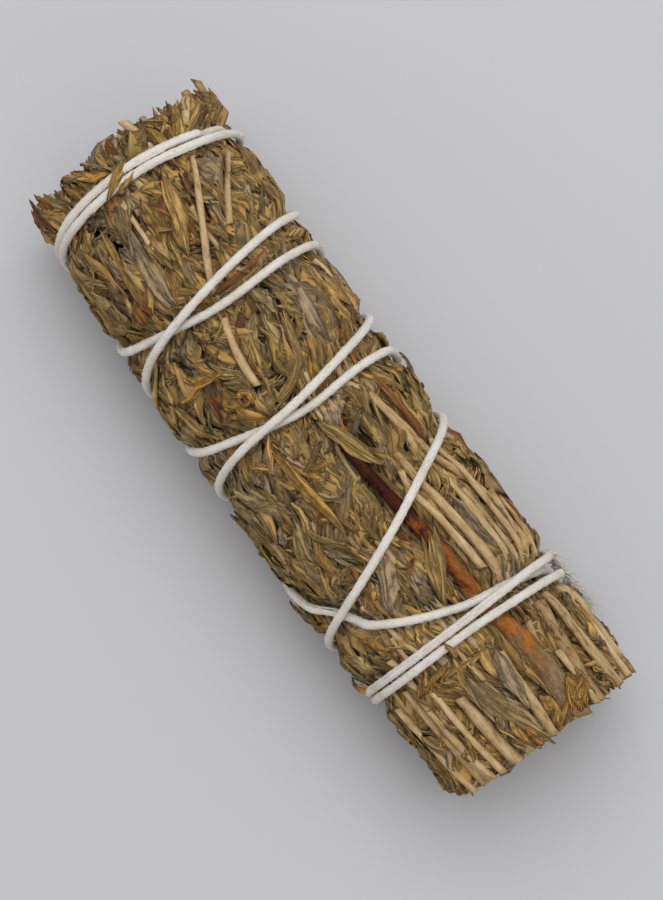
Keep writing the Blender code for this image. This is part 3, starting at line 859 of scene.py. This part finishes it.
heap = Heap()
add_stem(heap, BARK_PLACES, BARK_WIDTHS, 1.1, (0.5, 0.6, 0, 0), np.random.default_rng(5), 18, 0.07,
         UNDER_STRING, 0.4)
piece = heap.finish("bark_covered_stem_wood", [BARK, CUT])
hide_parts("bark_covered_stem")

for name, kind, width, depth, tone, shape, *places in LEAVES:
    heap = Heap()
    rng = np.random.default_rng(len(name) * 7 + int(places[0][0]) + 90)
    add_leaf(heap, places, width, kind, depth, (*tone, 0.37), rng, UNDER_STRING, **shape)
    piece = heap.finish(name + "_blade", [LEAF], NAMED_LEAF_THICKNESS)
    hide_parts(name)


# ---- bits that catch the eye
# Of leaves: kind, width, depth, tone, shape, places. Some lie over the string.
BITS = (
    ("broad", 2.6, (0.5, 0.2), (0.55, 0.7, 0.2), dict(curl=0.5, ridge=0.15), (-31.2, 4), (-29.8, 20),
     (-28.6, 37)),
    ("strip", 1.1, (0.6, 0.4), (0.9, 0.6, 0.6), dict(curl=0.9), (-29.2, 46), (-27.9, 70), (-27.4, 96)),
    ("strip", 1.0, (0.7, 0.4), (0.6, 0.6, 0.5), dict(curl=0.9), (-28.0, 47), (-26.8, 70), (-26.6, 94)),
    ("strip", 0.9, (0.7, 0.5), (0.93, 0.5, 0.6), dict(curl=0.9), (-26.9, 52), (-25.9, 72), (-25.9, 90)),
    ("lance", 1.8, (0.1, -0.3), (0.68, 1.0, 0.1), dict(curl=1.0, over=True), (-52.4, 93), (-50.9, 101),
     (-48.6, 112)),
    ("strip", 1.1, (0.2, 0.0), (0.66, 0.7, 0.3), dict(curl=1.0, over=True), (-49.6, 93), (-48.9, 99),
     (-48.3, 106)),
    ("broad", 4.4, (0.9, 0.0), (0.74, 0.85, 0.3), dict(curl=1.3, arch=0.8, wave=0.25), (-5.8, 108),
     (-8.6, 117), (-11.4, 122)),
    ("strip", 1.1, (0.3, 0.1), (0.7, 0.8, 0.3), dict(curl=1.2), (-10.6, 112), (-12.0, 108), (-13.3, 112),
     (-12.4, 116)),
    ("strip", 0.9, (0.2, 0.0), (0.87, 0.7, 0.3), dict(curl=1.2), (-12.4, 115), (-10.9, 115), (-11.1, 110),
     (-12.6, 111)),
    ("lance", 2.2, (0.6, 0.2), (0.72, 0.7, 0.4), dict(curl=1.2, wave=0.2), (-22.4, 126), (-19.6, 122),
     (-16.4, 118)),
    ("strip", 2.4, (0.7, 0.3), (0.90, 0.75, 0.6), dict(curl=0.8, wave=0.2), (4.6, 2), (10.4, 10),
     (16.6, 17)),
    ("lance", 2.2, (0.5, 0.0), (0.62, 0.85, 0.1), dict(curl=1.5), (12.8, 4), (16.0, 8), (17.6, 17)),
    ("strip", 1.2, (0.5, 0.3), (0.90, 0.8, 0.5), dict(curl=1.0), (22.0, 15), (27.5, 16)),
    ("strip", 1.4, (0.5, 0.3), (0.86, 0.7, 0.5), dict(curl=1.0), (18.0, 121), (22.6, 124), (26.0, 126)),
    ("lance", 2.4, (0.7, 0.2), (0.72, 0.55, 0.6), dict(curl=1.5, wave=0.3), (10.4, 127), (14.6, 131),
     (18.6, 131)),
    ("lance", 2.4, (0.9, 0.1), (0.66, 0.6, 0.6), dict(curl=1.5, wave=0.3), (13.6, 138), (17.4, 136),
     (20.6, 140)),
    ("broad", 2.8, (0.7, 0.3), (0.03, 0.55, 0.1), dict(curl=0.7, ridge=0.2), (40.4, 86), (45, 90),
     (49.6, 91)),
    ("strip", 0.9, (0.2, -0.1), (0.70, 0.8, 0.5), dict(curl=1.2, over=True), (35.2, 106), (36.6, 104),
     (37.9, 105)),
    ("lance", 1.7, (0.5, 0.1), (0.78, 0.7, 0.6), dict(curl=1.4), (37.8, 112), (38.6, 122), (39.4, 130)),
    ("strip", 1.2, (0.4, 0.1), (0.88, 0.7, 0.6), dict(curl=1.2), (36.0, 128), (39.6, 134)),
    ("strip", 1.7, (0.3, -0.5), (0.80, 0.8, 0.5), dict(curl=0.8, over=True), (34.6, 168), (33.4, 180),
     (31.6, 190)),
    ("lance", 1.8, (0.5, -0.5), (0.24, 0.2, 0.6), dict(curl=1.0, over=True), (21.6, 168), (19.6, 178),
     (16.4, 186)),
    ("lance", 1.7, (0.5, -0.5), (0.22, 0.2, 0.6), dict(curl=1.0, over=True), (0.4, 12), (-2.4, 4),
     (-5.2, -4)),
    ("lance", 1.6, (0.6, 0.0), (0.92, 0.6, 0.6), dict(curl=0.8), (-53.4, 148), (-55.2, 150), (-57.0, 152)),
    ("lance", 2.0, (0.6, -0.2), (0.94, 0.5, 0.6), dict(curl=0.6), (-51.4, 160), (-54.6, 163),
     (-57.2, 161)),
    ("strip", 1.4, (0.6, 0.0), (0.90, 0.6, 0.6), dict(curl=0.8), (-52.6, 172), (-56.6, 176)),
    ("lance", 1.5, (0.6, 0.0), (0.90, 0.7, 0.5), dict(curl=0.8), (-52.8, 20), (-54.6, 19), (-56.0, 20)),
    ("strip", 1.2, (0.6, 0.0), (0.92, 0.6, 0.5), dict(curl=0.8), (-53.0, 30), (-55.8, 31)),
    ("strip", 1.2, (0.6, 0.0), (0.90, 0.6, 0.5), dict(curl=0.8), (-53.0, 97), (-56.0, 95)),
    ("strip", 1.4, (0.5, 0.1), (0.88, 0.75, 0.5), dict(curl=0.8), (52.6, 99), (55.7, 97)),
)
# Of twigs: widths, depth of the top, tone, places.
TWIGS = (
    ((1.5, 1.5), 0.3, (0.75, 0.9), (-55.4, 39), (-51.6, 50)),
    ((1.5, 1.4), 0.5, (0.6, 0.85), (-57.2, 81), (-54, 77), (-50, 74)),
    ((1.0, 1.2), 0.5, (0.7, 0.8), (14, 47), (24, 46), (33, 45)),
    ((1.2, 1.3), 0.5, (0.5, 0.75), (20.6, 25), (28, 29), (33.4, 30)),
    ((1.1, 1.3), 0.3, (0.75, 0.85), (10.6, 67), (17.9, 66), (29.5, 63)),
    ((0.9, 1.0), 0.5, (0.7, 0.7), (9, 35), (20, 34), (33, 33)),
    ((1.1, 1.3), 0.3, (0.6, 0.8), (10, 50), (0, 53), (-8, 57)),
    ((0.8, 0.9), 0.5, (0.6, 0.8), (36, 103), (43, 101)),
    ((1.0, 1.2), 0.3, (0.7, 0.85), (38.5, 22), (48, 23), (57, 22)),
    ((1.2, 1.3), 0.3, (0.6, 0.85), (38.5, 9), (48, 11), (57, 10)),
    ((1.0, 1.1), 0.4, (0.4, 0.7), (39, 40), (48, 40), (57, 38)),
    ((1.0, 1.0), 0.5, (0.6, 0.7), (46, 57), (57, 57)),
    ((1.0, 1.1), 0.4, (0.6, 0.8), (40, 128), (49, 128), (57, 126)),
    ((0.9, 1.1), 0.4, (0.6, 0.8), (42, 137), (50, 136), (57, 133)),
    ((1.1, 1.2), 0.4, (0.6, 0.8), (39, 156), (48, 154), (57, 151)),
    ((0.9, 1.0), 0.5, (0.6, 0.8), (6, 16), (20, 15), (33, 16)),
    ((0.8, 0.9), 0.5, (0.8, 0.8), (-14, 22), (-24, 26)),
    ((0.8, 0.8), 0.5, (0.8, 0.8), (-36, 108), (-47, 108)),
    ((0.7, 0.7), 0.5, (0.9, 0.9), (-47.4, 92), (-47.0, 101)),
    ((0.9, 0.9), 0.5, (0.9, 0.9), (57.6, 84), (55.6, 77)),
)
FIBRE_TUFT = ((49.0, 57), (54.6, 65))  # orange inner bark, frayed at the sawn end
TUFT_FIBRES = 34


OUTER_NODES = [f"leafy_sprig_{n:02d}" for n in range(2 + INNER, 2 + INNER + OUTER)]


def build_bits():
    nothing = np.zeros_like(COVER)
    rng = np.random.default_rng(21)
    heap = Heap()
    for kind, width, depth, tone, shape, *places in BITS:
        shape = {"over": False, **shape}
        table = nothing if shape.pop("over") else UNDER_STRING
        add_leaf(heap, places, width, kind, depth, (*tone, rng.random()), rng, table, **shape)
    (x1, angle1), (x2, angle2) = FIBRE_TUFT
    for _ in range(TUFT_FIBRES):
        start_x = x1 + rng.uniform(0, 3)
        start_angle = angle1 + rng.uniform(-2, 7)
        end = (x2 - rng.uniform(-0.8, 1.2), angle2 + rng.normal(0, 5.5))
        middle_angle = (start_angle + end[1]) / 2 + rng.normal(0, 1.5)
        places = ((start_x, start_angle), ((start_x + end[0]) / 2, middle_angle), end)
        tone = (rng.uniform(0.77, 0.87), 1.0, 0.0, rng.random())
        depth = (rng.uniform(0.2, 0.8), rng.uniform(0.2, 1.0))
        add_leaf(heap, places, rng.uniform(0.3, 0.7), "strip", depth, tone, rng, nothing, curl=1.0)
    piece = heap.finish("loose_leaf_bits", [LEAF], LEAF_THICKNESS)
    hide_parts(*OUTER_NODES)
    heap = Heap()
    for widths, sink, tone, *places in TWIGS:
        add_stem(heap, places, widths, sink, (*tone, 0, 0), rng, 9, 0.09, UNDER_STRING, 0.4)
    piece = heap.finish("loose_twigs", [STRAW, CUT])
    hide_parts(*OUTER_NODES)


build_bits()


# ---- the string
PLY_TURN = 4.2  # length in which a ply goes once round the string
FIBRES, FRAYED_FIBRES, KNOT_FIBRES = 3800, 90, 240
FIBRE_WIDTH, FRAYED_WIDTH, KNOT_FIBRE_WIDTH = 0.06, 0.11, 0.26


def string_centre():
    """Points along the middle of the string, from one frayed end to the other, in metres."""
    out = math.radians(KNOT_ANGLE)
    outward = np.array((0.0, math.cos(out), math.sin(out)))
    upward = np.array((0.0, -math.sin(out), math.cos(out)))
    tie = place(np.array(KNOT_X), KNOT_ANGLE, skin_radius(KNOT_X, KNOT_ANGLE) + 0.2)
    first = []
    for k in range(33):
        left = (1 - k / 32) ** 2
        off = outward * (0.1 + 1.3 * left) + upward * (0.2 + 2.0 * left)
        first.append(tie + (np.array((1.4 - 0.07 * k, 0, 0)) + off * 0.6) * MM)
    keep = ANGLES >= ANGLES[0] + 20.0
    x, angle, dip = ALONG[keep], ANGLES[keep], DIPS[keep]
    wound = place(x, angle, skin_radius(x, angle) - STRING_DEPTH - dip)
    loop = []
    for k in range(90):
        turn = math.radians(-75.0 + 4.4 * k)
        off = (outward * math.cos(turn) + upward * math.sin(turn)) * (STRING + 0.25)
        loop.append(tie + (np.array((-0.9 + 0.026 * k, 0, 0)) + off) * MM)
    away = (np.array((1.0, 0, 0)) + outward * 0.7) * 0.16
    last = [loop[-1] + away * k * MM for k in range(1, 9)]
    points = np.concatenate([first, wound, loop, last])
    for _ in range(4):
        points[1:-1] = (points[:-2] + 2 * points[1:-1] + points[2:]) / 4
    steps = np.linalg.norm(np.diff(points, axis=0), axis=1)
    so_far = np.concatenate([[0], np.cumsum(steps)])
    at = np.linspace(0, so_far[-1], int(so_far[-1] / (0.42 * MM)))
    return np.stack([np.interp(at, so_far, points[:, k]) for k in range(3)], axis=1), at


def moving_frames(points):
    """Directions across the string, carried along it without spinning."""
    along = np.gradient(points, axis=0)
    along /= np.linalg.norm(along, axis=1)[:, None]
    across = np.zeros_like(along)
    current = np.cross(along[0], (0.3, 0.5, 0.8))
    for k, direction in enumerate(along):
        current = current - direction * np.dot(current, direction)
        current /= np.linalg.norm(current)
        across[k] = current
    return along, across, np.cross(along, across)


def build_string():
    points, at = string_centre()
    along, across, other = moving_frames(points)
    heap = Heap()
    rings = len(points) - 1
    sides = 12
    rng = np.random.default_rng(3)
    v, u = heap.sheet(rings, sides)
    k = np.rint(v * rings).astype(int)
    turn = (u + 1) * math.pi
    twist = at[k] / MM * 2 * math.pi / PLY_TURN
    # Three plies, laid round each other
    ply = 0.045 * np.cos(3 * (turn - twist))
    uneven = rng.normal(0, 0.012, len(k))
    radius = STRING / 2 * (1.0 + ply + 0.03 * np.sin(at[k] / MM * 1.7) + uneven)
    out = across[k] * np.cos(turn)[:, None] + other[k] * np.sin(turn)[:, None]
    shape = points[k] + out * (radius * MM)[:, None]
    shape[:, 2] = np.maximum(shape[:, 2], 0.02 * MM)
    heap.keep(shape, (0.5, 0.5, 0, 0))
    piece = heap.finish("cotton_string_twine", [COTTON])
    seam_mesh = bmesh.new()
    seam_mesh.from_mesh(piece.data)
    bmesh.ops.remove_doubles(seam_mesh, verts=seam_mesh.verts, dist=1e-6)
    bmesh.ops.holes_fill(seam_mesh, edges=seam_mesh.edges, sides=40)
    bmesh.ops.recalc_face_normals(seam_mesh, faces=seam_mesh.faces)
    seam_mesh.to_mesh(piece.data)
    seam_mesh.free()
    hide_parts("cotton_string")
    return points, along, across, other


def add_hair(heap, start_point, first_way, bend, length, width):
    """One loose fibre, curving and tapering to nothing."""
    u, c, s = heap.rod(3, 3, 0)
    side = np.cross(first_way, bend)
    side /= max(np.linalg.norm(side), 1e-9)
    upper = np.cross(first_way, side)
    run = (u * length)[:, None] * first_way + (0.5 * u**2 * length)[:, None] * bend
    thick = (width / 2 * (1 - 0.8 * u))[:, None]
    points = start_point + (run + thick * (c[:, None] * side + s[:, None] * upper)) * MM
    points[:, 2] = np.maximum(points[:, 2], 0.03 * MM)
    heap.keep(points, (0.5, 0.5, 0, 0))


def build_fuzz(points, along, across, other):
    rng = np.random.default_rng(11)
    heap = Heap()
    for _ in range(FIBRES):
        k = rng.integers(5, len(points) - 5)
        turn = rng.uniform(0, 6.28)
        out = across[k] * math.cos(turn) + other[k] * math.sin(turn)
        way = out * rng.uniform(0.15, 0.6) + along[k] * rng.choice((-1, 1)) * rng.uniform(0.6, 1.0)
        way /= np.linalg.norm(way)
        bend = rng.normal(0, 0.6, 3)
        spot = points[k] + out * STRING * 0.47 * MM
        add_hair(heap, spot, way, bend, rng.uniform(0.5, 1.5), FIBRE_WIDTH)
    for end, sign in ((0, -1), (len(points) - 1, 1)):
        for _ in range(FRAYED_FIBRES):
            way = along[end] * sign + rng.normal(0, 0.34, 3)
            way /= np.linalg.norm(way)
            spot = points[end] + rng.normal(0, 0.22, 3) * MM
            add_hair(heap, spot, way, rng.normal(0, 0.7, 3), rng.uniform(1.2, 3.2), FRAYED_WIDTH)
    for _ in range(KNOT_FIBRES):
        x = rng.uniform(33.0, 41.0)
        angle = rng.uniform(-16, 4)
        spot = place(x, angle, skin_radius(x, angle) + rng.uniform(-0.5, 0.2))
        way = np.array((rng.uniform(0.3, 1.0), rng.uniform(0.1, 0.7), rng.normal(0, 0.3)))
        way /= np.linalg.norm(way)
        bend = rng.normal(0, 0.6, 3)
        add_hair(heap, spot, way, bend, rng.uniform(0.8, 2.0), KNOT_FIBRE_WIDTH)
    piece = heap.finish("cotton_string_loose_fibres", [COTTON])
    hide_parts("cotton_string")


build_fuzz(*build_string())

# ---- floor, light and camera
floor_mesh = bmesh.new()
bmesh.ops.create_grid(floor_mesh, x_segments=1, y_segments=1, size=2.0)
floor_data = bpy.data.meshes.new("floor")
floor_mesh.to_mesh(floor_data)
floor_mesh.free()
floor = bpy.data.objects.new("floor", floor_data)
bpy.context.scene.collection.objects.link(floor)
paper, _, paper_shader = start("pale paper", 0.95, 0.05)
paper_shader.inputs["Base Color"].default_value = colour("c3c3c6")
floor_data.materials.append(paper)

world = bpy.data.worlds.new("soft room")
world.use_nodes = True
world.node_tree.nodes["Background"].inputs["Color"].default_value = (1.0, 0.995, 0.99, 1.0)
world.node_tree.nodes["Background"].inputs["Strength"].default_value = 0.56
bpy.context.scene.world = world

softbox = bpy.data.lights.new("overhead softbox", "AREA")
softbox.shape = "SQUARE"
softbox.size = 1.0
softbox.energy = 8.5
lamp = bpy.data.objects.new("overhead softbox", softbox)
bpy.context.scene.collection.objects.link(lamp)
lamp.location = (-0.25, 0.3, 1.1)
lamp.rotation_euler = (-lamp.location).to_track_quat("-Z", "Y").to_euler()

# The camera looks almost straight down, leaning 5 degrees, and is turned so that the bunch
# lies across the frame with its leaf tips at the upper left.
DISTANCE = 0.400
VIEW_HEIGHT = 0.140  # seen from top to bottom of the frame at the middle of the bunch
LEAN = math.radians(5.0)
up_way = Vector((-0.8086, 0.5884, 0.0))
target = Vector((0.00087, -0.0011, AXIS_Z * MM))
back = Vector((0, 0, 1)) * math.cos(LEAN) - up_way * math.sin(LEAN)
right_way = up_way.cross(back).normalized()
camera_up = back.cross(right_way).normalized()
lens = bpy.data.cameras.new("camera")
lens.sensor_width = 36.0
lens.lens = 36.0 * DISTANCE / VIEW_HEIGHT
lens.clip_start = 0.01
camera = bpy.data.objects.new("camera", lens)
bpy.context.scene.collection.objects.link(camera)
camera.location = target + back * DISTANCE
camera.rotation_mode = "QUATERNION"
turned = Matrix((right_way, camera_up, back)).transposed()
camera.rotation_quaternion = turned.to_quaternion()
bpy.context.scene.camera = camera
bpy.context.scene.view_settings.view_transform = "Standard"
